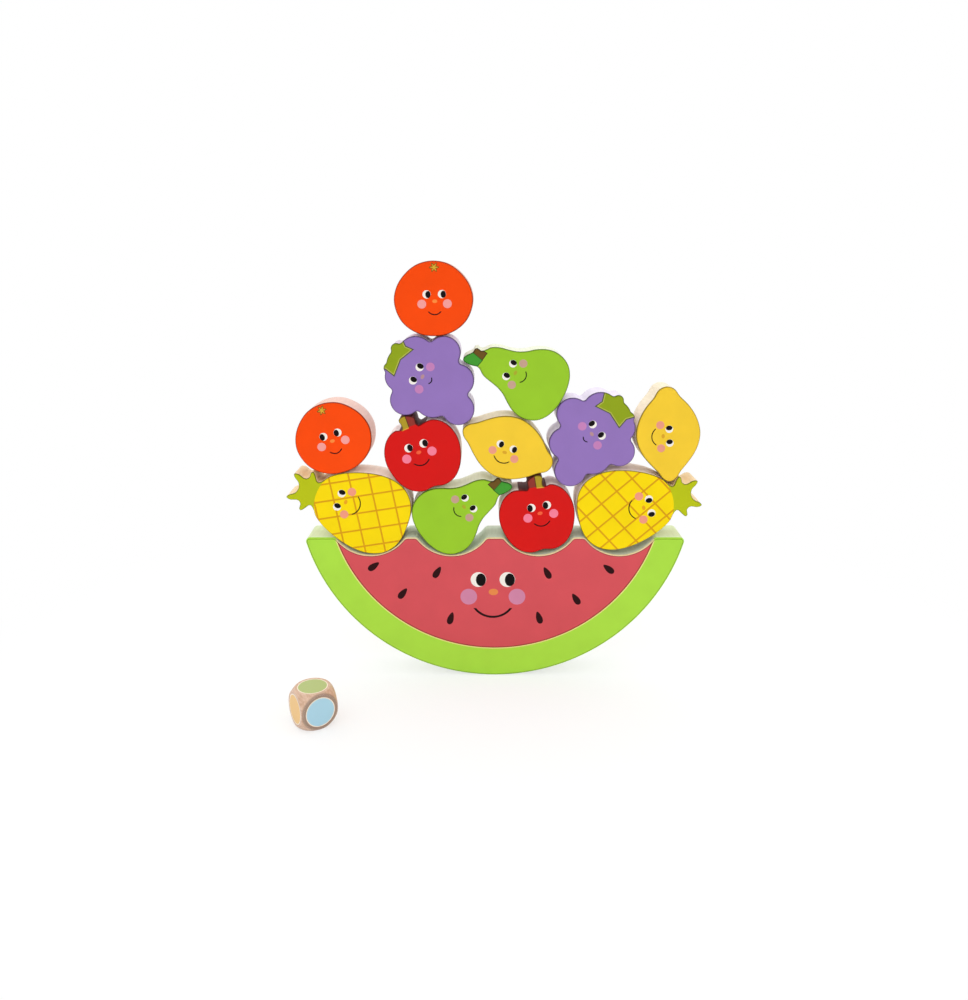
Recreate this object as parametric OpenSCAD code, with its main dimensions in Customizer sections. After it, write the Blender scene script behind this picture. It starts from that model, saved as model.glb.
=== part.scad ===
// Fruit balance game: a rocking melon slice, twelve fruit boards stacked on it and a colour die.
// Millimetres. +X is to the player's right, +Y is away from the player and +Z is up.
// The origin is where the rocker touches the table, midway through its thickness.

/* [Rocker] */
// Width of the melon slice along its flat rim, before the ends are rounded
rocker_w = 272; // [258:1:300]
// Height of the melon slice, from the table to its rim
rocker_h = 105; // [90:1:125]
// Thickness of the melon slice
rocker_t = 30; // [20:1:40]
// Radius of the four scallops that cradle the lowest fruits
scallop_r = 30; // [26:0.5:33]
// Depth of the scallops below the rim
scallop_depth = 13; // [9:0.5:15]
// Width of the crest between the two inner scallops
middle_crest_w = 12.6; // [8:0.2:18]
// Width of the crest between an inner and an outer scallop
side_crest_w = 8.6; // [6:0.2:12]
// Rounding of the crests
crest_r = 4; // [1:0.5:6]
// Rounding of the rim's two ends
rim_r = 3; // [1:0.5:6]

/* [Boards] */
// Thickness of each fruit board
fruit_t = 26; // [15:1:30]
// Gap left between pieces that lie on each other
stack_gap = 0.3; // [0.1:0.05:0.6]

/* [Fruits] */
// Width of an orange
orange_w = 54; // [48:0.5:58]
// Height of an orange
orange_h = 51; // [46:0.5:56]
// Width of an apple
apple_w = 54; // [48:0.5:58]
// Height of an apple with its stem
apple_h = 55.5; // [50:0.5:62]
// Width of a pear
pear_w = 51.5; // [46:0.5:56]
// Height of a pear with its leaf
pear_h = 74; // [68:0.5:82]
// Width of a lemon from nub to nub
lemon_w = 68; // [62:0.5:74]
// Height of a lemon
lemon_h = 45; // [40:0.5:50]
// Width of a bunch of grapes
grapes_w = 64; // [58:0.5:70]
// Height of a bunch of grapes with its leaf
grapes_h = 72; // [64:0.5:78]
// Rounding of the notches between the grapes
notch_r = 2.5; // [1:0.5:4]
// Width of a pineapple
pineapple_w = 58; // [52:0.5:62]
// Height of a pineapple with its crown
pineapple_h = 87.5; // [80:0.5:94]

/* [Stack] */
// How far the lower apple's middle lies inside that of its scallop
apple_base_inside = 1.5; // [0:0.1:4]
// How far the lower pear's middle lies inside that of its scallop
pear_base_inside = 8.6; // [7:0.1:12]
// How far the left pineapple's middle lies outside that of its scallop
pineapple_left_outside = 14.2; // [12:0.1:18]
// How far the right pineapple's middle lies outside that of its scallop
pineapple_right_outside = 12.8; // [11:0.1:16]
// How far the middle lemon lies to the right of the rocker's middle
lemon_centre_right = 8.7; // [7:0.1:12]
// How far the left apple's middle lies inside the crest between the two left scallops
apple_left_inside = 8.8; // [6:0.1:11]
// How far the left orange's middle lies outside that of the scallop under it
orange_left_outside = 24.4; // [20:0.1:28]
// How far the middle of the right grapes lies outside the crest between the two right scallops
grapes_right_outside = 4.5; // [4:0.1:9]
// How far the end of the middle lemon reaches into a notch of the right grapes
lemon_in_grapes = 3.2; // [0:0.1:6]
// How far the right lemon's middle lies outside that of the scallop under it
lemon_right_outside = 30; // [28:0.1:36]
// How far the middle of the upper grapes lies inside the crest between the two left scallops
grapes_top_inside = 16.9; // [15:0.1:20]
// How far the upper pear lies to the right of the rocker's middle
pear_top_right = 14.2; // [12:0.1:18]
// How far the upper pear's leaf reaches into a notch of the upper grapes
leaf_in_grapes = 9; // [0:0.1:12]
// How far the middle of the upper orange lies inside the crest between the two left scallops
orange_top_inside = 17.8; // [14:0.1:22]

/* [Colour die] */
// Edge of the die between two flat faces
die_edge = 25; // [16:0.5:30]
// Diameter of the ball that rounds the die's corners
die_ball = 34; // [22:0.5:42]
// Distance of the die to the left of the rocker's middle
die_left = 120.2; // [60:1:160]
// Distance from the rocker's front face to the middle of the die
die_ahead = 64.1; // [40:1:120]
// Turn of the die on the table
die_turn = 33; // [0:1:89]

/* [Hidden] */

melon_green = "#ACDF46";
pineapple_yellow = "#F9DB10";
pear_green = "#98CA32";
apple_red = "#D8201F";
orange_orange = "#F84D0E";
lemon_yellow = "#F5CC35";
grape_purple = "#9375BA";
beech = "#D9B68F";

// Longest step between two points of a smooth outline
outline_step = 2.4;
// Greatest distance between a true arc and its chords
arc_sag = 0.03;

// Smooth closed curve through hand-placed points

function tangent(points, i) =
    let (
        n = len(points),
        back = points[i] - points[(i + n - 1) % n],
        ahead = points[(i + 1) % n] - points[i],
        back_length = norm(back),
        ahead_length = norm(ahead)
    )
    (back * ahead_length / back_length + ahead * back_length / ahead_length) / (back_length + ahead_length);

function hermite(a, b, slope_a, slope_b, t) =
    a * (2 * t^3 - 3 * t^2 + 1) + slope_a * (t^3 - 2 * t^2 + t)
    + b * (3 * t^2 - 2 * t^3) + slope_b * (t^3 - t^2);

function spline(points) = [
    for (i = [0 : len(points) - 1])
        let (
            j = (i + 1) % len(points),
            span = norm(points[j] - points[i]),
            steps = max(2, ceil(span / outline_step)),
            slope_a = tangent(points, i) * span,
            slope_b = tangent(points, j) * span
        )
        for (k = [0 : steps - 1])
            hermite(points[i], points[j], slope_a, slope_b, k / steps)
];

function mirrored_list(points) = [for (i = [len(points) - 1 : -1 : 0]) [-points[i].x, points[i].y]];

// A right half, from its foot on the axis up to its head on the axis, made whole
function both_halves(right) = concat(right, [for (p = mirrored_list(right)) if (p.x < -0.01) p]);

function arc(centre, radius, from, to) =
    let (
        widest_step = 2 * acos(1 - arc_sag / radius),
        steps = max(2, ceil(abs(to - from) / widest_step))
    )
    [for (i = [0 : steps]) let (a = from + (to - from) * i / steps) centre + radius * [cos(a), sin(a)]];

function without_repeats(points) = [
    for (i = [0 : len(points) - 1])
        if (norm(points[i] - points[(i + 1) % len(points)]) > 0.01) points[i]
];

// Outlines of the fruits, upright, drawn by hand and fitted to their width and height

function low_corner(outline) = [min([for (p = outline) p.x]), min([for (p = outline) p.y])];

function high_corner(outline) = [max([for (p = outline) p.x]), max([for (p = outline) p.y])];

function box_middle(outline) = (low_corner(outline) + high_corner(outline)) / 2;

function fitted(outline, width, height) =
    let (
        centre = box_middle(outline),
        reach = high_corner(outline) - low_corner(outline),
        stretch = [width / reach.x, height / reach.y]
    )
    [for (p = outline) [(p.x - centre.x) * stretch.x, (p.y - centre.y) * stretch.y]];

orange_outline = fitted(spline(both_halves([
    [0, -25.5], [8, -24.6], [15.5, -21.3], [21.8, -15.8], [25.6, -8.6], [27, 0],
    [25, 8.3], [19.4, 16.6], [11, 23], [0, 25.4]
])), orange_w, orange_h);

apple_right_side = [
    [0, -24.2], [8, -25.2], [15.5, -22.6], [21.5, -16.3], [25.5, -7], [27, 2.5],
    [25.2, 11.5], [20.2, 19], [13, 22.6], [6.5, 21.8]
];
apple_stem = [
    [3.4, 21.2], [2.3, 23.2], [2.5, 27.2], [1.2, 28.6], [-7.2, 30.2], [-8.6, 29], [-7.8, 23.6], [-8.4, 21.8]
];
apple_left_side = [for (p = mirrored_list(apple_right_side)) if (p.x < -7 || p.y < 0) if (p.x < 0) p];
apple_outline = fitted(spline(concat(apple_right_side, apple_stem, apple_left_side)), apple_w, apple_h);

pear_right_belly = [
    [0, -32.1], [8.5, -31.3], [16, -28.8], [22, -24], [25.1, -17.5], [25.7, -11.5], [24.2, -5.2], [20.8, 0.8]
];
pear_right_neck = [[16.6, 6], [13.6, 11.5], [12, 17], [10.4, 23.6], [7.2, 29.2]];
pear_stem = [[3.4, 32], [2.5, 33.6], [2.9, 36.6], [1.6, 38], [-0.8, 38]];
pear_leaf = [[-4.2, 40.6], [-7.4, 42], [-9.2, 41.4], [-9.9, 38.6], [-9.5, 34], [-8.6, 30.8]];
pear_left_neck = [[-12.2, 23.9], [-13.7, 17], [-14.9, 11.5], [-17.2, 6]];
pear_left_belly = [for (p = mirrored_list(pear_right_belly)) if (p.x < 0) p];
pear_outline = fitted(spline(concat(
    pear_right_belly, pear_right_neck, pear_stem, pear_leaf, pear_left_neck, pear_left_belly
)), pear_w, pear_h);

lemon_upper_side = [
    [34.6, 0], [33, 5], [27, 9.4], [21.3, 14.6], [15, 18.8], [7.6, 21.8], [0, 22.9],
    [-7.4, 21.6], [-14.4, 18.4], [-21.4, 13.2], [-27.4, 8], [-32.2, 4.6], [-34.4, 0]
];
lemon_inner_points = [for (i = [1 : len(lemon_upper_side) - 2]) lemon_upper_side[i]];
lemon_lower_side = [for (p = mirrored_list(lemon_inner_points)) [-p.x, -p.y]];
lemon_outline = fitted(spline(concat(lemon_upper_side, lemon_lower_side)), lemon_w, lemon_h);

pineapple_body = [
    [0, -43.8], [9, -43.2], [17.5, -40.3], [24.3, -34.3], [28.2, -25.5], [29, -16], [27.6, -6.5],
    [24.6, 3.5], [20.2, 13], [15, 20], [10, 23.8]
];
pineapple_crown = [
    [8.9, 25.6], [13.2, 29.4], [14.9, 31.2], [13.9, 32.5], [10.4, 32.6], [8.6, 34.4],
    [9.8, 41.8], [8.9, 43.6], [7.3, 42.9], [3.8, 38.6], [0, 37.4]
];
pineapple_right_side = concat(pineapple_body, pineapple_crown);
pineapple_outline = fitted(spline(both_halves(pineapple_right_side)), pineapple_w, pineapple_h);

// The grapes at the edge of the bunch and the points of its leaf, anticlockwise, as [x, z, radius]
grape_balls = [
    [20.5, 1.6, 11.5], [10.5, 18.5, 12.7], [8, 32.3, 3.8], [0.5, 21.5, 13.3], [-6.4, 30.9, 3.7],
    [-8.5, 21.5, 10.4], [-21.3, 10.8, 10.8], [-12, -6, 13.3], [-10.4, -24.9, 11.4], [7.4, -15.4, 11.6]
];

function middle(ball) = [ball.x, ball.y];

function swollen(ball) = [ball.x, ball.y, ball.z + notch_r];

function heading(from, to) = atan2(to.y - from.y, to.x - from.x);

// Outer crossing of two grapes' edges, where the bunch runs anticlockwise from one to the next
function crossing(ball, next) =
    let (
        step = middle(next) - middle(ball),
        span = norm(step),
        along = (span^2 + ball.z^2 - next.z^2) / (2 * span),
        aside = sqrt(ball.z^2 - along^2)
    )
    middle(ball) + along * step / span + aside * [step.y, -step.x] / span;

// Middle of the fillet that rounds the notch between two grapes
function notch(ball, next) = crossing(swollen(ball), swollen(next));

// The edge of one grape, from the notch before it, and the fillet of the notch after it
function grape_edge(before, ball, after) =
    let (
        fillet = notch(ball, after),
        start = heading(middle(ball), notch(before, ball)),
        end = heading(middle(ball), fillet),
        turn_in = heading(fillet, middle(ball)),
        turn_out = heading(fillet, middle(after))
    )
    concat(
        arc(middle(ball), ball.z, start, end < start ? end + 360 : end),
        arc(fillet, notch_r, turn_in, turn_out > turn_in ? turn_out - 360 : turn_out)
    );

grape_count = len(grape_balls);
grapes_outline = fitted(without_repeats([
    for (i = [0 : grape_count - 1])
        each grape_edge(
            grape_balls[(i + grape_count - 1) % grape_count],
            grape_balls[i],
            grape_balls[(i + 1) % grape_count]
        )
]), grapes_w, grapes_h);

// Outline of the rocker: a circular segment with a scalloped rim

sole_r = ((rocker_w / 2)^2 + rocker_h^2) / (2 * rocker_h);
scallop_half_w = sqrt(scallop_depth * (2 * scallop_r - scallop_depth));
inner_scallop_x = middle_crest_w / 2 + scallop_half_w;
outer_scallop_x = inner_scallop_x + side_crest_w + 2 * scallop_half_w;
narrow_crest_w = min(middle_crest_w, side_crest_w);
widest_crest_r = ((scallop_half_w + narrow_crest_w / 2)^2 / scallop_depth + scallop_depth) / 2 - scallop_r;
crest_round = min(crest_r, 0.9 * widest_crest_r);
crest_reach = sqrt(scallop_depth * (2 * scallop_r + 2 * crest_round - scallop_depth));
crest_rise = scallop_r - scallop_depth + crest_round;
crest_angle = atan2(crest_rise, crest_reach);
rim_round_x = sqrt((sole_r - rim_r)^2 - (sole_r - rocker_h + rim_r)^2);
rim_angle = atan2(rocker_h - rim_r - sole_r, rim_round_x);

// One scallop with its two rounded crests, from right to left
function scallop(x) = concat(
    arc([x + crest_reach, rocker_h - crest_round], crest_round, 90, 180 - crest_angle),
    arc([x, rocker_h - scallop_depth + scallop_r], scallop_r, -crest_angle, crest_angle - 180),
    arc([x - crest_reach, rocker_h - crest_round], crest_round, crest_angle, 90)
);

rocker_outline = without_repeats(both_halves(concat(
    arc([0, sole_r], sole_r, -90, rim_angle),
    arc([rim_round_x, rocker_h - rim_r], rim_r, rim_angle, 90),
    scallop(outer_scallop_x),
    scallop(inner_scallop_x)
)));

// Stacking: each fruit is turned, then dropped straight down onto everything placed before it

// Outward direction at each point of an outline that runs anticlockwise
function outward(outline, i) =
    let (
        n = len(outline),
        along = outline[(i + 1) % n] - outline[(i + n - 1) % n]
    )
    [along.y, -along.x] / norm(along);

function grown(outline, distance) = [
    for (i = [0 : len(outline) - 1]) outline[i] + distance * outward(outline, i)
];

function turned(outline, tilt, flipped) =
    let (shown = flipped ? mirrored_list(outline) : outline)
    [for (p = shown) [p.x * cos(tilt) - p.y * sin(tilt), p.x * sin(tilt) + p.y * cos(tilt)]];

function moved(outline, shift) = [for (p = outline) p + shift];

// Heights at which a vertical line at x crosses an outline
function crossings(outline, x) = [
    for (i = [0 : len(outline) - 1])
        let (
            a = outline[i],
            b = outline[(i + 1) % len(outline)]
        )
        if (min(a.x, b.x) <= x && x <= max(a.x, b.x) && a.x != b.x)
            a.y + (b.y - a.y) * (x - a.x) / (b.x - a.x)
];

// How far one outline must rise so that it lies on another, or nothing when they pass each other
function rises(upper, lower) =
    let (
        left = max(low_corner(upper).x, low_corner(lower).x),
        right = min(high_corner(upper).x, high_corner(lower).x)
    )
    left >= right ? [] : concat(
        [for (p = upper) if (left < p.x && p.x < right) max(crossings(lower, p.x)) - p.y],
        [for (p = lower) if (left < p.x && p.x < right) p.y - min(crossings(upper, p.x))]
    );

function dropped(outline, placed) =
    let (skin = grown(outline, stack_gap))
    moved(outline, [0, max([for (lower = placed) each rises(skin, lower)])]);

// Sideways shift that lets a piece reach past the edge of its neighbour by no more than the overlap
function sideways(outline, neighbour, overlap) =
    box_middle(outline).x < box_middle(neighbour).x
    ? min(0, low_corner(neighbour).x + overlap - high_corner(outline).x)
    : max(0, high_corner(neighbour).x - overlap - low_corner(outline).x);

// Middle of the crest between two scallops, over which the fruits of the second row sit
crest_x = (inner_scallop_x + outer_scallop_x) / 2;

// Overlap of two fruits that stand side by side
apart = -stack_gap;

// Every fruit in the order it is stacked:
// name, outline, tilt, turned over, x of its middle, the neighbour beside it and how far they overlap
FRUITS = [
    ["apple_base", apple_outline, 11, true, inner_scallop_x - apple_base_inside],
    ["pear_base", pear_outline, -53, true, pear_base_inside - inner_scallop_x],
    [
        "pineapple_left", pineapple_outline, 70, false,
        -outer_scallop_x - pineapple_left_outside, "pear_base", apart
    ],
    [
        "pineapple_right", pineapple_outline, -78, false,
        outer_scallop_x + pineapple_right_outside, "apple_base", apart
    ],
    ["lemon_centre", lemon_outline, -23, false, lemon_centre_right],
    ["apple_left", apple_outline, 18, false, apple_left_inside - crest_x, "lemon_centre", apart],
    ["orange_left", orange_outline, 17, true, -outer_scallop_x - orange_left_outside, "apple_left", apart],
    [
        "grapes_right", grapes_outline, -51, true,
        crest_x + grapes_right_outside, "lemon_centre", lemon_in_grapes
    ],
    ["lemon_right", lemon_outline, -86, true, outer_scallop_x + lemon_right_outside, "grapes_right", apart],
    ["grapes_top", grapes_outline, 63, false, grapes_top_inside - crest_x],
    ["pear_top", pear_outline, 62, false, pear_top_right, "grapes_top", leaf_in_grapes],
    ["orange_top", orange_outline, 1, false, orange_top_inside - crest_x]
];

function fruit_index(name) = search([name], FRUITS)[0];

// The rocker's outline, followed by those of the first fruits in their places
function stacked(count) =
    count == 0 ? [rocker_outline]
    : let (
        placed = stacked(count - 1),
        piece = FRUITS[count - 1],
        raised = moved(turned(piece[1], piece[2], piece[3]), [piece[4], 0]),
        shift = len(piece) == 5 ? 0 : sideways(raised, placed[1 + fruit_index(piece[5])], piece[6])
    )
    concat(placed, [dropped(moved(raised, [shift, 0]), placed)]);

STACK = stacked(len(FRUITS));

function stacked_outline(name) = STACK[1 + fruit_index(name)];

// A board sawn to this outline, standing on edge midway between front and back
module board(outline, thickness) {
    translate([0, thickness / 2, 0])
        rotate([90, 0, 0])
            linear_extrude(thickness) polygon(outline);
}

// A fruit's board, its front flush with that of the rocker
module fruit(name) {
    translate([0, (fruit_t - rocker_t) / 2, 0]) board(stacked_outline(name), fruit_t);
}

module watermelon_rocker() {
    color(melon_green) board(rocker_outline, rocker_t);
}

module pineapple_left() {
    color(pineapple_yellow) fruit("pineapple_left");
}

module pear_base() {
    color(pear_green) fruit("pear_base");
}

module apple_base() {
    color(apple_red) fruit("apple_base");
}

module pineapple_right() {
    color(pineapple_yellow) fruit("pineapple_right");
}

module orange_left() {
    color(orange_orange) fruit("orange_left");
}

module apple_left() {
    color(apple_red) fruit("apple_left");
}

module lemon_centre() {
    color(lemon_yellow) fruit("lemon_centre");
}

module grapes_right() {
    color(grape_purple) fruit("grapes_right");
}

module lemon_right() {
    color(lemon_yellow) fruit("lemon_right");
}

module grapes_top() {
    color(grape_purple) fruit("grapes_top");
}

module pear_top() {
    color(pear_green) fruit("pear_top");
}

module orange_top() {
    color(orange_orange) fruit("orange_top");
}

// A cube whose corners are turned off by a ball, resting on the table ahead of the rocker
module colour_die() {
    color(beech)
        translate([-die_left, -rocker_t / 2 - die_ahead, die_edge / 2])
            rotate([0, 0, die_turn])
                intersection() {
                    cube(die_edge, center = true);
                    sphere(d = die_ball, $fn = 64);
                }
}

watermelon_rocker();
pineapple_left();
pear_base();
apple_base();
pineapple_right();
orange_left();
apple_left();
lemon_centre();
grapes_right();
lemon_right();
grapes_top();
pear_top();
orange_top();
colour_die();
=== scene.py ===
"""The looks of the fruit balance game: painted wooden fruits stacked on a rocking melon slice."""
import math

import bmesh
import bpy
from mathutils import Matrix, Vector


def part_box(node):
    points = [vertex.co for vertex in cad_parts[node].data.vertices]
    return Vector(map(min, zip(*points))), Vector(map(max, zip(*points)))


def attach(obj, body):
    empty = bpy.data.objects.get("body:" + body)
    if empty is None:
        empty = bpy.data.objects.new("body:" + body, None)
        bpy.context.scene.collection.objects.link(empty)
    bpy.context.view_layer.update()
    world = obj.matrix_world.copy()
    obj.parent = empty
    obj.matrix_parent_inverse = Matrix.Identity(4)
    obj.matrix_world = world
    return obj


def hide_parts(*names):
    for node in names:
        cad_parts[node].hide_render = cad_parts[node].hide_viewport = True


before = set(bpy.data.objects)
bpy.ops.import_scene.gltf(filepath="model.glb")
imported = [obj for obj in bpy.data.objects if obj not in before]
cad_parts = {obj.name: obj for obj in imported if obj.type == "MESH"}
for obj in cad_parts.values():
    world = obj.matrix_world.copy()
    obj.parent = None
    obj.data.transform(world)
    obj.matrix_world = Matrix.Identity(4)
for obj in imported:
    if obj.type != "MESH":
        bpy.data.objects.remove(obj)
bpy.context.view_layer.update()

MM = 0.001

# How each board lies: its fruit, its tilt in degrees anticlockwise as seen from the front, and whether
# it is turned over
BOARDS = {
    "pineapple_left": ("pineapple", 70, False),
    "pear_base": ("pear", -53, True),
    "apple_base": ("apple", 11, True),
    "pineapple_right": ("pineapple", -78, False),
    "orange_left": ("orange", 17, True),
    "apple_left": ("apple", 18, False),
    "lemon_centre": ("lemon", -23, False),
    "grapes_right": ("grapes", -51, True),
    "lemon_right": ("lemon", -86, True),
    "grapes_top": ("grapes", 63, False),
    "pear_top": ("pear", 62, False),
    "orange_top": ("orange", 1, False),
}

# Paint of the printed fronts and backs
FRONT_PAINT = {
    "pineapple": "#F9DA00",
    "pear": "#98C92C",
    "apple": "#D51310",
    "orange": "#F94A00",
    "lemon": "#F5CC35",
    "grapes": "#9375BA",
}
# Pale colours of the sawn sides
SIDE_PAINT = {
    "pineapple": "#F8E8DA",
    "pear": "#EBF0D8",
    "apple": "#FAEBE6",
    "orange": "#ECC8BB",
    "lemon": "#F6E8CC",
    "grapes": "#EAE1F4",
}

# The sanded lips: their rounding on the fruits and on the melon slice, and the steps in it
FRUIT_LIP = 1.4 * MM
MELON_LIP = 1.2 * MM
LIP_STEPS = 4
# How squarely a face looks to the front or back, where 1 is quite square: on a flat, and at the least on
# the print and on the lip
SQUARE_ON = 0.999
PRINT_FACING = 0.95
LIP_FACING = 0.15
# Painted shade on a lip, darker as a face turns away from the front or back: how squarely a face looks to
# the front or back where the painted shade is darkest and where it ends, and the share of brightness left
# where it is darkest
FRUIT_LIP_SHADE = (0.55, 0.985, 0.22)
MELON_LIP_SHADE = (0.975, 0.999, 0.3)
# A copy of a CAD node is merged within this reach, and its flats are joined within this angle
MERGE_REACH = 0.001 * MM
FLAT_ANGLE = math.radians(0.2)

# Paint and varnish: the film's IOR, and little mirror gloss under the soft light
FILM_IOR = 1.5
FILM_SPECULAR = 0.1
SIDE_ROUGHNESS = 0.55
# Most of a noise's values lie in this range
NOISE_REACH = (0.3, 0.7)
# The coats' drifts of shade, orange peel and wood fibres: widths, shares of brightness and depths
DRIFT_WIDTH = 18 * MM
DRIFT_SHADE = (0.96, 1.02)
SATIN_ROUGHNESS = (0.42, 0.52)
PEEL_WIDTH = 1.5 * MM
PEEL_DEPTH = 0.04 * MM
FIBRE_WIDTH = 1.6 * MM
FIBRE_STRETCH = 0.12
FIBRE_SHADE = (0.93, 1.03)
FIBRE_DEPTH = 0.08 * MM

# The prints are drawn in millimetres from the middle of an upright board, x to the right and z up, with
# headings in degrees anticlockwise from the right
RIGHT, UP, LEFT, DOWN = 0, 90, 180, -90
# One board is printed off its place, by this much along and up
PRINT_SHIFT = {"grapes_right": (2.2, -4.2)}

# One face serves every piece: each mark's middle and half sizes at a size of 1, and the cheek and the eye
# are mirrored
CHEEK = ((8.7, -2.3), (3.0, 3.0))
NOSE = ((0.2, -0.5), (1.7, 1.2))
EYE = ((5.2, 4.2), (2.8, 2.8))
PUPILS = [((-4.3, 4.1), (1.8, 2.4)), ((6.1, 4.1), (1.8, 2.4))]
# How wide the smile's line is, and how far its ends rise as a share of its radius
SMILE_LINE = 0.8
SMILE_RISE = 0.42
EYE_WHITE = "#F3EEE6"
INK = "#0A0305"
# Each face's middle, its size, the paint of its cheeks and nose, and its smile's lowest point and radius
FACES = {
    "pineapple": ((1.9, 3.5), 1.0, "#EE9A80", "#E9A41C", -11.0, 8.4),
    "pear": ((0.0, 1.1), 0.96, "#C4A08C", "#A9AB2E", -8.8, 5.4),
    "apple": ((-2.6, 0.7), 1.07, "#F5809A", "#F0603A", -9.4, 6.4),
    "orange": ((0.7, -1.2), 1.0, "#F4A09B", "#F98A3C", -9.6, 5.2),
    "lemon": ((-0.9, -3.3), 0.95, "#EA9C84", "#DDA62A", -8.8, 7.4),
    "grapes": ((-1.2, 8.0), 1.0, "#C481B8", "#B58C92", -7.4, 2.8),
    "melon": ((-1.5, 65.3), 2.0, "#CF85A6", "#E58A4A", -10.0, 8.0),
}

# The pears' dark lines, and the edge of the vine leaf
PEAR_LINE = 0.5
LEAF_EDGE = 0.7
# The vine leaf starts as a disk, and each notch goes from a tip to its deepest point and to the next tip
VINE_LEAF = ((3.5, 32.0), (17.0, 17.0))
VINE_NOTCHES = [
    ((-10.0, 38.4), (-7.6, 32.6), (-9.0, 25.5)),
    ((-9.0, 25.5), (2.6, 26.6), (12.5, 22.1)),
    ((12.5, 22.1), (12.2, 27.3), (16.3, 32.4)),
]
# The pineapples' crossing lines: the heading across them, where one lies, and their spacing
PINEAPPLE_LINES = [(29, 6.1, 12.3), (121, 9.5, 14.0)]
PINEAPPLE_LINE_HALF = 0.6
SHOULDER = ((0, -6.0), (30.5, 30.5))
CROWN_FOOT = (0, 10.0)


def paint(code):
    """An sRGB hex colour as linear red, green and blue, with an alpha of 1."""
    parts = [int(code[start:start + 2], 16) / 255 for start in (1, 3, 5)]
    return [p / 12.92 if p <= 0.04045 else ((p + 0.055) / 1.055) ** 2.4 for p in parts] + [1.0]


def add_node(tree, kind, inputs=None, **settings):
    """A new shader node with its settings made, and each input linked or given its value. Inputs go by
    name or number: 1 to 4 of a Map Range are the ends of its two ranges, 6 and 7 of a Mix its colours."""
    node = tree.nodes.new("ShaderNode" + kind)
    for name, value in settings.items():
        setattr(node, name, value)
    for name, value in (inputs or {}).items():
        if isinstance(value, bpy.types.NodeSocket):
            tree.links.new(value, node.inputs[name])
        else:
            node.inputs[name].default_value = value
    return node


def new_finish(name, roughness=0.5):
    """An empty material with its tree and its shader."""
    material = bpy.data.materials.new(name)
    material.use_nodes = True
    shader = material.node_tree.nodes["Principled BSDF"]
    shader.inputs["Roughness"].default_value = roughness
    shader.inputs["IOR"].default_value = FILM_IOR
    shader.inputs["Specular IOR Level"].default_value = FILM_SPECULAR
    return material, material.node_tree, shader


def lay(tree, under, mask, code):
    """A colour laid over another one where the mask is 1."""
    return add_node(tree, "Mix", {0: mask, 6: under, 7: paint(code)}, data_type="RGBA").outputs[2]


def from_mark(tree, place, middle, half_sizes, turn=0.0):
    """A place on the board as a printed mark has it: from its middle, along it, in its half sizes."""
    return add_node(
        tree, "Mapping",
        {
            "Vector": place,
            "Location": (middle[0], 0, middle[1]),
            "Rotation": (0, -math.radians(turn), 0),
            "Scale": (half_sizes[0], 1, half_sizes[1]),
        },
        vector_type="TEXTURE",
    ).outputs[0]


def inside(tree, spot):
    """A mask that is 1 within a mark's half sizes."""
    reach = add_node(tree, "VectorMath", {0: spot}, operation="LENGTH").outputs["Value"]
    return add_node(tree, "Math", {0: reach, 1: 1.0}, operation="LESS_THAN").outputs[0]


def oval(tree, place, middle, half_sizes, turn=0.0):
    """A mask that is 1 inside an oval on the board."""
    return inside(tree, from_mark(tree, place, middle, half_sizes, turn))


def ring(tree, place, middle, radius, width):
    """A mask that is 1 along a circle's line on the board."""
    reach = add_node(tree, "VectorMath", {0: place, 1: (middle[0], 0, middle[1])}, operation="DISTANCE")
    return add_node(
        tree, "Math", {0: reach.outputs["Value"], 1: radius, 2: width / 2}, operation="COMPARE"
    ).outputs[0]


def ahead_of(heading):
    """A step of 1 on the board towards a heading."""
    return Vector((math.cos(math.radians(heading)), 0, math.sin(math.radians(heading))))


def beyond(tree, place, point, heading):
    """A mask that is 1 past a straight line through the point, on the side that the heading looks to."""
    ahead = ahead_of(heading)
    reach = add_node(tree, "VectorMath", {0: place, 1: ahead}, operation="DOT_PRODUCT").outputs["Value"]
    start = point[0] * ahead.x + point[1] * ahead.z
    return add_node(tree, "Math", {0: reach, 1: start}, operation="GREATER_THAN").outputs[0]


def overlap(tree, first, *others):
    """A mask that is 1 where all of the masks are."""
    for mask in others:
        first = add_node(tree, "Math", {0: first, 1: mask}, operation="MULTIPLY").outputs[0]
    return first


def cut_out(tree, mask, *holes):
    """A mask with other masks cut out of it."""
    for hole in holes:
        left = add_node(tree, "Math", {0: mask, 1: hole}, operation="SUBTRACT", use_clamp=True)
        mask = left.outputs[0]
    return mask


def board_place(tree, middle, tilt, turned_over):
    """Millimetres from the middle of the upright board, the same through its thickness."""
    upright = add_node(
        tree, "Mapping",
        {
            "Vector": add_node(tree, "TexCoord").outputs["Object"],
            "Location": middle,
            "Rotation": (0, -math.radians(tilt), 0),
            "Scale": (-MM if turned_over else MM, MM, MM),
        },
        vector_type="TEXTURE",
    ).outputs[0]
    return add_node(tree, "VectorMath", {0: upright, 1: (1, 0, 1)}, operation="MULTIPLY").outputs[0]


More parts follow.
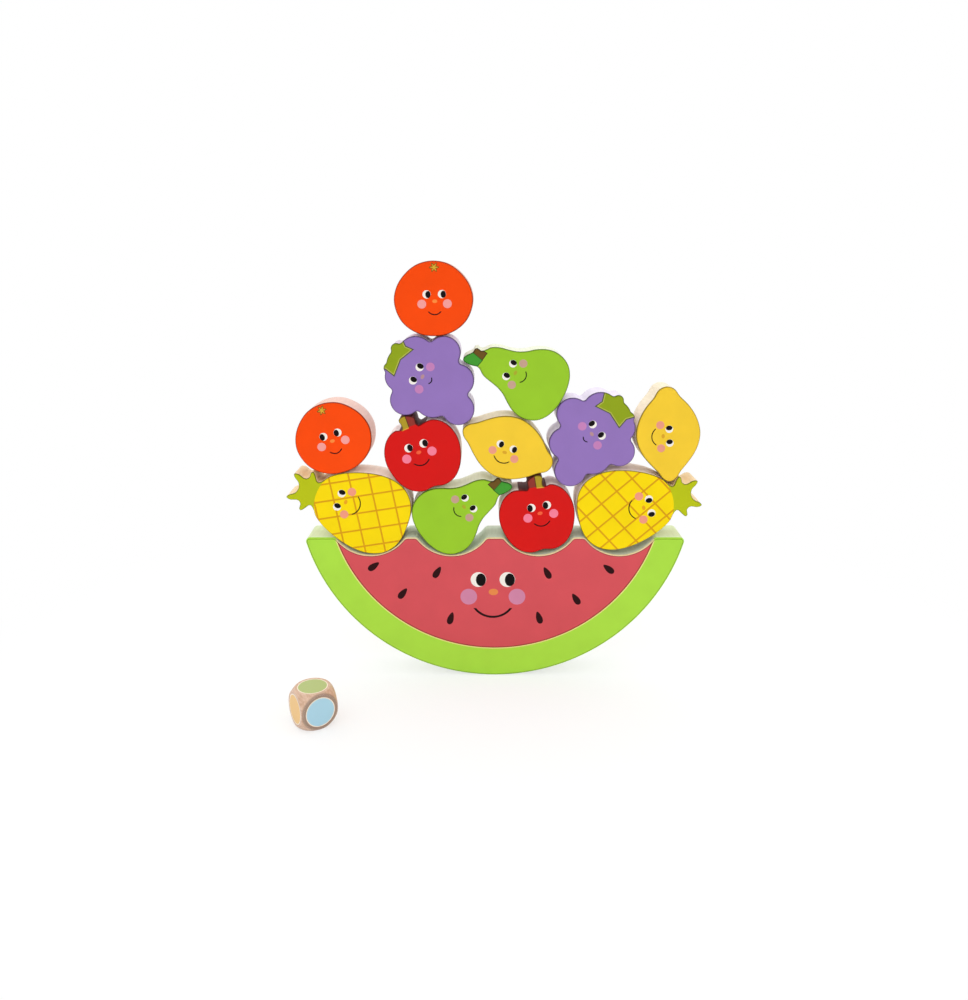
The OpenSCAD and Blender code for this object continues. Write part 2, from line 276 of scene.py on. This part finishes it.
def smiling_face(tree, place, under, kind):
    """Round eyes that glance aside, round cheeks, a dot of a nose and an even smile."""
    middle, size, cheeks, nose, lowest, radius = FACES[kind]
    here = from_mark(tree, place, middle, (size, size))
    apart = add_node(tree, "SeparateXYZ", {0: here})
    aside = add_node(tree, "Math", {0: apart.outputs["X"]}, operation="ABSOLUTE").outputs[0]
    mirrored = add_node(tree, "CombineXYZ", {"X": aside, "Z": apart.outputs["Z"]}).outputs[0]
    colour = lay(tree, under, oval(tree, mirrored, *CHEEK), cheeks)
    colour = lay(tree, colour, oval(tree, here, *NOSE), nose)
    colour = lay(tree, colour, oval(tree, mirrored, *EYE), EYE_WHITE)
    for pupil in PUPILS:
        colour = lay(tree, colour, oval(tree, here, *pupil), INK)
    circle = ring(tree, here, (0, lowest + radius), radius, SMILE_LINE)
    lower = beyond(tree, here, (0, lowest + SMILE_RISE * radius), DOWN)
    return lay(tree, colour, overlap(tree, circle, lower), INK)


def orange_print(tree, place):
    """A small six-pointed calyx under the top edge, outlined in brown."""
    calyx = (1.0, 21.0)
    outline = ((3.5, 1.0), "#8E5414")
    leaves = ((2.7, 0.45), "#DCAE34")
    colour = paint(FRONT_PAINT["orange"])
    for half_sizes, code in (outline, leaves):
        for turn in (0, 60, 120):
            colour = lay(tree, colour, oval(tree, place, calyx, half_sizes, turn), code)
    return colour


def apple_print(tree, place):
    """A maroon stem and an olive leaf beside it, with a dark line between them and a pale line under the
    leaf."""
    stem_foot = (0, 19.6)
    colour = paint(FRONT_PAINT["apple"])
    colour = lay(tree, colour, beyond(tree, place, stem_foot, UP), "#8E352C")
    outer_end = beyond(tree, place, (-9.4, 22.0), 10)
    dark_line = (-2.9, 19.0, "#57301C")
    pale_line = (-3.5, 18.3, "#DFA23A")
    leaf = (-3.5, 19.0, "#AE9628")
    for edge, foot, code in (dark_line, pale_line, leaf):
        inner_edge = beyond(tree, place, (edge, 23.5), 181)
        lower_edge = beyond(tree, place, (-5.6, foot), 95)
        colour = lay(tree, colour, overlap(tree, inner_edge, lower_edge, outer_end), code)
    return colour


def pear_print(tree, place):
    """A green leaf beside a brown stem, with dark lines where they meet and where they leave the
    fruit."""
    colour = paint(FRONT_PAINT["pear"])
    for line, code in ((PEAR_LINE, "#3A2A12"), (0.0, "#6B4E1E")):
        foot = beyond(tree, place, (1.2, 24.6 - line), 82)
        inner_side = beyond(tree, place, (-2.4, 28.5), -12)
        outer_side = beyond(tree, place, (2.9 + line, 28.5), 178)
        colour = lay(tree, colour, overlap(tree, foot, inner_side, outer_side), code)
    for line, code in ((PEAR_LINE, "#2C5A22"), (0.0, "#429A32")):
        foot = beyond(tree, place, (-5.0, 25.4 - line), 78)
        inner_side = beyond(tree, place, (-2.4 + line, 28.5), 168)
        colour = lay(tree, colour, overlap(tree, foot, inner_side), code)
    return colour


def lemon_print(tree, place):
    """Plain yellow."""
    return paint(FRONT_PAINT["lemon"])


def grapes_print(tree, place):
    """A vine leaf with notches between its tips and its upper side on the board's own edge: a dark line,
    a pale edge and a green middle."""
    colour = paint(FRONT_PAINT["grapes"])
    for growth, code in ((LEAF_EDGE, "#4E5634"), (0.0, "#B4B654"), (-LEAF_EDGE, "#8FA31A")):
        notches = []
        for tip, deepest, next_tip in VINE_NOTCHES:
            sides = []
            for start, end in ((tip, deepest), (deepest, next_tip)):
                along = Vector(end) - Vector(start)
                outward = Vector((along.y, -along.x)).normalized()
                heading = math.degrees(math.atan2(outward.y, outward.x))
                sides.append(beyond(tree, place, Vector(start) + outward * growth, heading))
            notches.append(overlap(tree, *sides))
        leaf = cut_out(tree, oval(tree, place, *VINE_LEAF), *notches)
        colour = lay(tree, colour, leaf, code)
    return colour


def crown(tree, place):
    """A mask that is 1 on the leaves above the pineapple's round shoulder."""
    return cut_out(tree, beyond(tree, place, CROWN_FOOT, UP), oval(tree, place, *SHOULDER))


def pineapple_print(tree, place):
    """Amber lines crossing on yellow, and an olive crown."""
    colour = paint(FRONT_PAINT["pineapple"])
    for heading, start, spacing in PINEAPPLE_LINES:
        reach = add_node(tree, "VectorMath", {0: place, 1: ahead_of(heading)}, operation="DOT_PRODUCT")
        moved = add_node(tree, "Math", {0: reach.outputs["Value"], 1: start}, operation="SUBTRACT")
        nearest = add_node(tree, "Math", {0: moved.outputs[0], 1: spacing / 2}, operation="PINGPONG")
        line = add_node(
            tree, "Math", {0: nearest.outputs[0], 1: PINEAPPLE_LINE_HALF}, operation="LESS_THAN"
        )
        colour = lay(tree, colour, line.outputs[0], "#D99C10")
    return lay(tree, colour, crown(tree, place), "#B9C312")


PRINTS = {
    "orange": orange_print,
    "apple": apple_print,
    "pear": pear_print,
    "lemon": lemon_print,
    "grapes": grapes_print,
    "pineapple": pineapple_print,
}


def apple_sides(tree, place):
    """Pale sides, but maroon all round the stem and the hollow that it stands in."""
    hollow = overlap(
        tree,
        beyond(tree, place, (9.5, 0), LEFT),
        beyond(tree, place, (-10.5, 0), RIGHT),
        beyond(tree, place, (0, 16.5), UP),
    )
    return lay(tree, paint(SIDE_PAINT["apple"]), hollow, "#6A2426")


def pineapple_sides(tree, place):
    """Pale sides, but peach round the crown."""
    return lay(tree, paint(SIDE_PAINT["pineapple"]), crown(tree, place), "#F6DCB2")


SIDES = {"apple": apple_sides, "pineapple": pineapple_sides}


def satin_coat(tree, shader, colour, lip_shade=FRUIT_LIP_SHADE):
    """Sprayed satin paint on a sanded board: slow drifts of shade, a soft gloss that wavers, painted
    shade on the lip that darkens as a face turns away from the front or back, and a fine orange peel,
    drawn at 1.5 mm so that it shows."""
    place = add_node(tree, "TexCoord").outputs["Object"]
    facing = add_node(tree, "SeparateXYZ", {0: add_node(tree, "NewGeometry").outputs["True Normal"]})
    squarely = add_node(tree, "Math", {0: facing.outputs["Y"]}, operation="ABSOLUTE").outputs[0]
    # Painted shade on the lip: the colour darkens as a face turns from the front or back towards the side
    darkest, end, share = lip_shade
    lip_shade_level = add_node(tree, "MapRange", {0: squarely, 1: darkest, 2: end, 3: share, 4: 1.0}).outputs[0]
    colour = add_node(tree, "VectorMath", {0: colour, "Scale": lip_shade_level}, operation="SCALE").outputs[0]
    drift = add_node(tree, "TexNoise", {"Vector": place, "Scale": 1 / DRIFT_WIDTH, "Detail": 3.0})
    low, high = NOISE_REACH
    dark, light = DRIFT_SHADE
    level = add_node(tree, "MapRange", {0: drift.outputs[0], 1: low, 2: high, 3: dark, 4: light})
    tinted = add_node(tree, "VectorMath", {0: colour, "Scale": level.outputs[0]}, operation="SCALE")
    tree.links.new(tinted.outputs[0], shader.inputs["Base Color"])
    smooth, rough = SATIN_ROUGHNESS
    gloss = add_node(tree, "MapRange", {0: drift.outputs[0], 1: low, 2: high, 3: smooth, 4: rough})
    tree.links.new(gloss.outputs[0], shader.inputs["Roughness"])
    peel = add_node(tree, "TexNoise", {"Vector": place, "Scale": 1 / PEEL_WIDTH, "Detail": 2.0})
    bump = add_node(tree, "Bump", {"Height": peel.outputs[0], "Strength": 0.25, "Distance": PEEL_DEPTH})
    tree.links.new(bump.outputs[0], shader.inputs["Normal"])


def sawn_coat(tree, shader, colour):
    """A pale colour on a sawn and sanded edge: the wood's fibres show as faint streaks along the cut,
    drawn at 1.6 mm so that they show."""
    place = add_node(tree, "TexCoord").outputs["Object"]
    stretched = add_node(tree, "Mapping", {"Vector": place, "Scale": (1, FIBRE_STRETCH, 1)}).outputs[0]
    fibres = add_node(tree, "TexNoise", {"Vector": stretched, "Scale": 1 / FIBRE_WIDTH, "Detail": 3.0})
    low, high = NOISE_REACH
    dark, light = FIBRE_SHADE
    level = add_node(tree, "MapRange", {0: fibres.outputs[0], 1: low, 2: high, 3: dark, 4: light})
    tinted = add_node(tree, "VectorMath", {0: colour, "Scale": level.outputs[0]}, operation="SCALE")
    tree.links.new(tinted.outputs[0], shader.inputs["Base Color"])
    bump = add_node(tree, "Bump", {"Height": fibres.outputs[0], "Strength": 0.3, "Distance": FIBRE_DEPTH})
    tree.links.new(bump.outputs[0], shader.inputs["Normal"])


def finished(name, shape, materials, body, node):
    """Makes the bmesh a mesh object that rides on its body in the place of its CAD node."""
    mesh = bpy.data.meshes.new(name)
    shape.to_mesh(mesh)
    shape.free()
    for material in materials:
        mesh.materials.append(material)
    piece = bpy.data.objects.new(name, mesh)
    bpy.context.scene.collection.objects.link(piece)
    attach(piece, body)
    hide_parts(node)


def merged_copy(node):
    """The CAD node's own shape as one closed skin, with each flat as one face."""
    shape = bmesh.new()
    shape.from_mesh(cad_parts[node].data)
    bmesh.ops.remove_doubles(shape, verts=shape.verts, dist=MERGE_REACH)
    bmesh.ops.dissolve_limit(shape, angle_limit=FLAT_ANGLE, verts=shape.verts, edges=shape.edges)
    return shape


def rounded_board(node, lip):
    """The board with its front and back edges sanded round: its faces are print 0, lip 1 and side 2."""
    shape = merged_copy(node)
    flats = [face for face in shape.faces if abs(face.normal.y) > SQUARE_ON]
    edges = list({edge for face in flats for edge in face.edges})
    bmesh.ops.bevel(
        shape, geom=edges, offset=lip, offset_type="OFFSET", segments=LIP_STEPS, profile=0.5,
        affect="EDGES", material=-1, clamp_overlap=True,
    )
    for face in shape.faces:
        facing = abs(face.normal.y)
        face.smooth = facing < SQUARE_ON
        face.material_index = 0 if facing > PRINT_FACING else 1 if facing > LIP_FACING else 2
    return shape


def board_middle(node, tilt, turned_over):
    """The middle of the upright board, in the frame."""
    lying = Matrix.Rotation(-math.radians(tilt), 3, "Y")
    if turned_over:
        lying = lying @ Matrix.Scale(-1, 3, (1, 0, 0))
    upright = lying.inverted()
    points = [upright @ vertex.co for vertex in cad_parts[node].data.vertices]
    lowest = Vector([min(point[axis] for point in points) for axis in range(3)])
    highest = Vector([max(point[axis] for point in points) for axis in range(3)])
    return lying @ ((lowest + highest) / 2)


# The fruits
for node, (kind, tilt, turned_over) in BOARDS.items():
    middle = board_middle(node, tilt, turned_over)
    coat, tree, shader = new_finish(f"satin_print_{node}")
    place = board_place(tree, middle, tilt, turned_over)
    if node in PRINT_SHIFT:
        along, up = PRINT_SHIFT[node]
        shifted = add_node(tree, "VectorMath", {0: place, 1: (along, 0, up)}, operation="SUBTRACT")
        place = shifted.outputs[0]
    satin_coat(tree, shader, smiling_face(tree, place, PRINTS[kind](tree, place), kind))
    side, tree, shader = new_finish(f"pale_side_paint_{node}", SIDE_ROUGHNESS)
    if kind in SIDES:
        place = board_place(tree, middle, tilt, turned_over)
        sawn_coat(tree, shader, SIDES[kind](tree, place))
    else:
        sawn_coat(tree, shader, paint(SIDE_PAINT[kind])[:3])
    finished(f"{node}_board", rounded_board(node, FRUIT_LIP), [coat, coat, side], node, node)


# The melon slice, in millimetres from the lowest point of its sole: the middle of its rounds, and the
# radius of the flesh
HEART = (0, 140.6)
FLESH_RADIUS = 119.1
RIND_GREEN = "#ACDF46"
# Lines round the flesh: how far out from its edge, how wide, and their paint
FLESH_LINES = [(0.4, 0.8, "#EBE08A"), (-0.35, 0.7, "#8E3A2C")]
# The seeds: their half sizes, how they narrow upwards, where their tips aim, and their middles
SEED_HALF = (2.2, 4.8)
SEED_TAPER = -0.35
SEED_AIM = (0, 148)
SEEDS = [
    (-87, 83.7), (-41.5, 79.2), (-66.5, 63.2), (-32, 44.2),
    (37.5, 78.7), (81.5, 81.7), (58.5, 58.9), (32, 44.7),
]


def melon_place(tree):
    """Millimetres from the lowest point of the sole."""
    return board_place(tree, (0, 0, 0), 0, False)


def flesh(tree, place):
    """A mask that is 1 on the round of the flesh."""
    return oval(tree, place, HEART, (FLESH_RADIUS, FLESH_RADIUS))


def melon_seed(tree, place, middle):
    """A mask of one seed, round below and narrow at the tip that aims at the heart of the slice."""
    turn = math.degrees(math.atan2(middle[0] - SEED_AIM[0], SEED_AIM[1] - middle[1]))
    spot = from_mark(tree, place, middle, SEED_HALF, turn)
    apart = add_node(tree, "SeparateXYZ", {0: spot})
    taper = add_node(
        tree, "Math", {0: apart.outputs["Z"], 1: SEED_TAPER, 2: 1.0}, operation="MULTIPLY_ADD"
    )
    across = add_node(tree, "Math", {0: apart.outputs["X"], 1: taper.outputs[0]}, operation="DIVIDE")
    drop = add_node(tree, "CombineXYZ", {"X": across.outputs[0], "Z": apart.outputs["Z"]})
    return inside(tree, drop.outputs[0])


coat, tree, shader = new_finish("satin_print_melon")
place = melon_place(tree)
colour = lay(tree, paint(RIND_GREEN), flesh(tree, place), "#D5535A")
for offset, width, code in FLESH_LINES:
    colour = lay(tree, colour, ring(tree, place, HEART, FLESH_RADIUS + offset, width), code)
for seed in SEEDS:
    colour = lay(tree, colour, melon_seed(tree, place, seed), "#2A060A")
# The melon's coat darkens the first step of its lip as painted shade
satin_coat(tree, shader, smiling_face(tree, place, colour, "melon"), MELON_LIP_SHADE)

# The sanded lip: cream along the flesh and rind green elsewhere
lip, tree, shader = new_finish("sanded_lip_melon", 0.5)
sawn_coat(tree, shader, lay(tree, paint(RIND_GREEN), flesh(tree, melon_place(tree)), "#EAD6A6"))

# The sides: pale green round the rind and nearly white in the scallops
side, tree, shader = new_finish("pale_side_paint_melon", SIDE_ROUGHNESS)
sawn_coat(tree, shader, lay(tree, paint("#E2F2C8"), flesh(tree, melon_place(tree)), "#D2DCC8"))
finished(
    "watermelon_slice", rounded_board("watermelon_rocker", MELON_LIP), [coat, lip, side],
    "rocker", "watermelon_rocker",
)


# The colour die, in millimetres from its middle
DIE_TURN = math.radians(33)
DIE_LIP = 0.9 * MM
DIE_LIP_STEPS = 3
DIE_FLAT_AREA = 300 * MM * MM
# Each spot's axis, its side and its paint, their radius, the pale edge round them, and how far below a
# flat their paint may lie
SPOTS = [
    ("X", -1, "#EBBB6A"), ("X", 1, "#D9605A"), ("Y", -1, "#AAD4E6"),
    ("Y", 1, "#F0DC7A"), ("Z", 1, "#AEBE74"), ("Z", -1, "#B9A2CC"),
]
SPOT_RADIUS = 9.3
SPOT_EDGE = 0.6
SPOT_DEPTH = 0.5
# The grain: the width of a fleck, its stretch along the grain and the noise's range, and how deep below
# the front and back flats the painted shade starts and where it is full
FLECK_WIDTH = 1.43
FLECK_STRETCH = 0.12
FLECK_REACH = (0.35, 0.65)
FLECK_DEPTH = 0.06 * MM
FLAT_MARGIN_SHADE = (1.4, 0.1)
lowest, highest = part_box("colour_die")
die_middle = (lowest + highest) / 2
die_half = (highest.z - lowest.z) / 2 / MM

# Beech, turned round at the corners, sanded and varnished: short brown flecks along a pale pink grain,
# drawn at 1.4 mm so that they show, and painted shade on the margins of the front and back flats
coat, tree, shader = new_finish("varnished_beech_with_painted_spots", 0.4)
shader.inputs["Coat Weight"].default_value = 0.5
shader.inputs["Coat Roughness"].default_value = 0.12
turned = add_node(
    tree, "Mapping",
    {
        "Vector": add_node(tree, "TexCoord").outputs["Object"],
        "Location": die_middle,
        "Rotation": (0, 0, DIE_TURN),
        "Scale": (MM, MM, MM),
    },
    vector_type="TEXTURE",
).outputs[0]
stretched = add_node(tree, "Mapping", {"Vector": turned, "Scale": (1, FLECK_STRETCH, 1)}).outputs[0]
grain = add_node(tree, "TexNoise", {"Vector": stretched, "Scale": 1 / FLECK_WIDTH, "Detail": 4.0})
low, high = FLECK_REACH
tone = add_node(tree, "MapRange", {0: grain.outputs[0], 1: low, 2: high, 3: 0.0, 4: 1.0}).outputs[0]
colour = lay(tree, paint("#C9A388"), tone, "#DBBAA2")
apart = add_node(tree, "SeparateXYZ", {0: turned})
depth = add_node(tree, "Math", {0: apart.outputs["Y"]}, operation="ABSOLUTE").outputs[0]
start, full = FLAT_MARGIN_SHADE
# Painted shade: the margins of the front and back flats round their spots, and the rounds beside them,
# are darker
painted_flat_shade = add_node(
    tree, "MapRange", {0: depth, 1: die_half - start, 2: die_half - full, 3: 0.0, 4: 1.0},
    interpolation_type="SMOOTHSTEP",
)
colour = lay(tree, colour, painted_flat_shade.outputs[0], "#A08573")
for axis, sign, code in SPOTS:
    across = [0.0 if name == axis else 1.0 for name in "XYZ"]
    flattened = add_node(tree, "VectorMath", {0: turned, 1: across}, operation="MULTIPLY").outputs[0]
    reach = add_node(tree, "VectorMath", {0: flattened}, operation="LENGTH").outputs["Value"]
    ahead = [float(sign) if name == axis else 0.0 for name in "XYZ"]
    out = add_node(tree, "VectorMath", {0: turned, 1: ahead}, operation="DOT_PRODUCT").outputs["Value"]
    on_flat = add_node(tree, "Math", {0: out, 1: die_half - SPOT_DEPTH}, operation="GREATER_THAN")
    for radius, shown in ((SPOT_RADIUS + SPOT_EDGE, "#F3E6D2"), (SPOT_RADIUS, code)):
        spot = add_node(tree, "Math", {0: reach, 1: radius}, operation="LESS_THAN").outputs[0]
        colour = lay(tree, colour, overlap(tree, spot, on_flat.outputs[0]), shown)
tree.links.new(colour, shader.inputs["Base Color"])
bump = add_node(tree, "Bump", {"Height": grain.outputs[0], "Strength": 0.2, "Distance": FLECK_DEPTH})
tree.links.new(bump.outputs[0], shader.inputs["Normal"])

# The lip round each flat is paler than the varnished corners: a painted highlight along the edges
pale, tree, shader = new_finish("beech_lip_painted_highlight", 0.45)
sawn_coat(tree, shader, paint("#F8EBDD")[:3])
shape = merged_copy("colour_die")
flats = [face for face in shape.faces if face.calc_area() > DIE_FLAT_AREA]
edges = list({edge for face in flats for edge in face.edges})
rolled = bmesh.ops.bevel(
    shape, geom=edges, offset=DIE_LIP, offset_type="OFFSET", segments=DIE_LIP_STEPS, profile=0.5,
    affect="EDGES", material=-1, clamp_overlap=True,
)
for face in rolled["faces"]:
    face.material_index = 1
for face in shape.faces:
    face.smooth = face.calc_area() < DIE_FLAT_AREA
finished("die_block", shape, [coat, pale], "die", "colour_die")


def seen_directly(tree):
    """A mask that is 1 for the rays that see the white surround: camera, glossy and transmission rays."""
    path = add_node(tree, "LightPath")
    seen = path.outputs["Is Camera Ray"]
    for ray in ("Is Glossy Ray", "Is Transmission Ray"):
        seen = add_node(tree, "Math", {0: seen, 1: path.outputs[ray]}, operation="MAXIMUM").outputs[0]
    return seen


# The stage: a matt white floor that keeps the soft shadow near the toy and fades to plain white away
# from it. Lengths are in metres: half the floor, and where the fade starts and ends
FLOOR_HALF = 4.0
FADE_START = 0.12
FADE_END = 0.42
# The share of plain white before the fade starts
NEAR_WHITE = 0.65
floor_shape = bmesh.new()
bmesh.ops.create_grid(floor_shape, x_segments=1, y_segments=1, size=FLOOR_HALF)
floor_mesh = bpy.data.meshes.new("studio_floor")
floor_shape.to_mesh(floor_mesh)
floor_shape.free()
floor_coat, tree, shader = new_finish("matt_white_floor", 0.9)
shader.inputs["Base Color"].default_value = paint("#FAFAFA")
white = add_node(tree, "Emission", {"Color": (1, 1, 1, 1), "Strength": 1.0})
away = add_node(tree, "VectorMath", {0: add_node(tree, "TexCoord").outputs["Object"]}, operation="LENGTH")
fade = add_node(
    tree, "MapRange", {0: away.outputs["Value"], 1: FADE_START, 2: FADE_END, 3: NEAR_WHITE, 4: 1.0},
    interpolation_type="SMOOTHSTEP",
)
faded = overlap(tree, fade.outputs[0], seen_directly(tree))
blend = add_node(tree, "MixShader", {0: faded, 1: shader.outputs[0], 2: white.outputs[0]})
tree.links.new(blend.outputs[0], tree.nodes["Material Output"].inputs["Surface"])
floor_mesh.materials.append(floor_coat)
studio_floor = bpy.data.objects.new("studio_floor", floor_mesh)
bpy.context.scene.collection.objects.link(studio_floor)

# A dome of soft light with a pale backdrop behind. The dome is dim at the horizon, so that the beds under
# the fruits stay in shade, and it is full where a direction rises to this height
DOME_HEIGHT = 0.7
HORIZON_LIGHT = 0.1
DOME_LIGHT = 1.34
# How far back a direction looks where the backdrop starts and where it is full
BACKDROP_START = 0.1
BACKDROP_FULL = 0.5
BACKDROP_LIGHT = 0.9
world = bpy.data.worlds.new("studio_world")
world.use_nodes = True
bpy.context.scene.world = world
tree = world.node_tree
direction = add_node(tree, "SeparateXYZ", {0: add_node(tree, "TexCoord").outputs["Generated"]})
dome = add_node(
    tree, "MapRange",
    {0: direction.outputs["Z"], 1: 0.0, 2: DOME_HEIGHT, 3: HORIZON_LIGHT, 4: DOME_LIGHT},
    interpolation_type="SMOOTHSTEP",
)
backdrop = add_node(
    tree, "MapRange",
    {0: direction.outputs["Y"], 1: BACKDROP_START, 2: BACKDROP_FULL, 3: 0.0, 4: BACKDROP_LIGHT},
    interpolation_type="SMOOTHSTEP",
)
lit = add_node(tree, "Math", {0: dome.outputs[0], 1: backdrop.outputs[0]}, operation="MAXIMUM").outputs[0]
strength = add_node(tree, "MapRange", {0: seen_directly(tree), 1: 0.0, 2: 1.0, 3: lit, 4: 1.0})
background = tree.nodes["Background"]
background.inputs["Color"].default_value = (1, 1, 1, 1)
tree.links.new(strength.outputs[0], background.inputs["Strength"])

# Where each lamp stands, where it aims, its width, its power and its spread in degrees
LAMPS = {
    "top_softbox": ((0.1, 0.3, 1.4), (0, 0, 0.15), 1.4, 0.5, 180),
    "front_softbox": ((-0.4, -1.1, 1.3), (0, 0, 0.15), 1.0, 1.0, 180),
    "low_fill": ((0, -0.9, 0.03), (0, 0, 0.03), 0.5, 0.06, 42),
}
for name, (stand, aim, width, power, spread) in LAMPS.items():
    lamp = bpy.data.lights.new(name, "AREA")
    lamp.shape = "DISK"
    lamp.size = width
    lamp.energy = power
    lamp.spread = math.radians(spread)
    lamp_object = bpy.data.objects.new(name, lamp)
    lamp_object.location = stand
    lamp_object.rotation_euler = (Vector(aim) - Vector(stand)).to_track_quat("-Z", "Y").to_euler()
    bpy.context.scene.collection.objects.link(lamp_object)

# The camera looks ten degrees down, with its frame slid down on to the toy
LOOK_DOWN = 10
camera = bpy.data.cameras.new("camera")
camera.sensor_width = 36.0
camera.lens = 30.6
camera.shift_y = -0.0871
camera_object = bpy.data.objects.new("camera", camera)
camera_object.location = (-0.0079, -0.5962, 0.2979)
camera_object.rotation_euler = (math.radians(90 - LOOK_DOWN), 0, 0)
bpy.context.scene.collection.objects.link(camera_object)
bpy.context.scene.camera = camera_object
bpy.context.scene.view_settings.view_transform = "Standard"
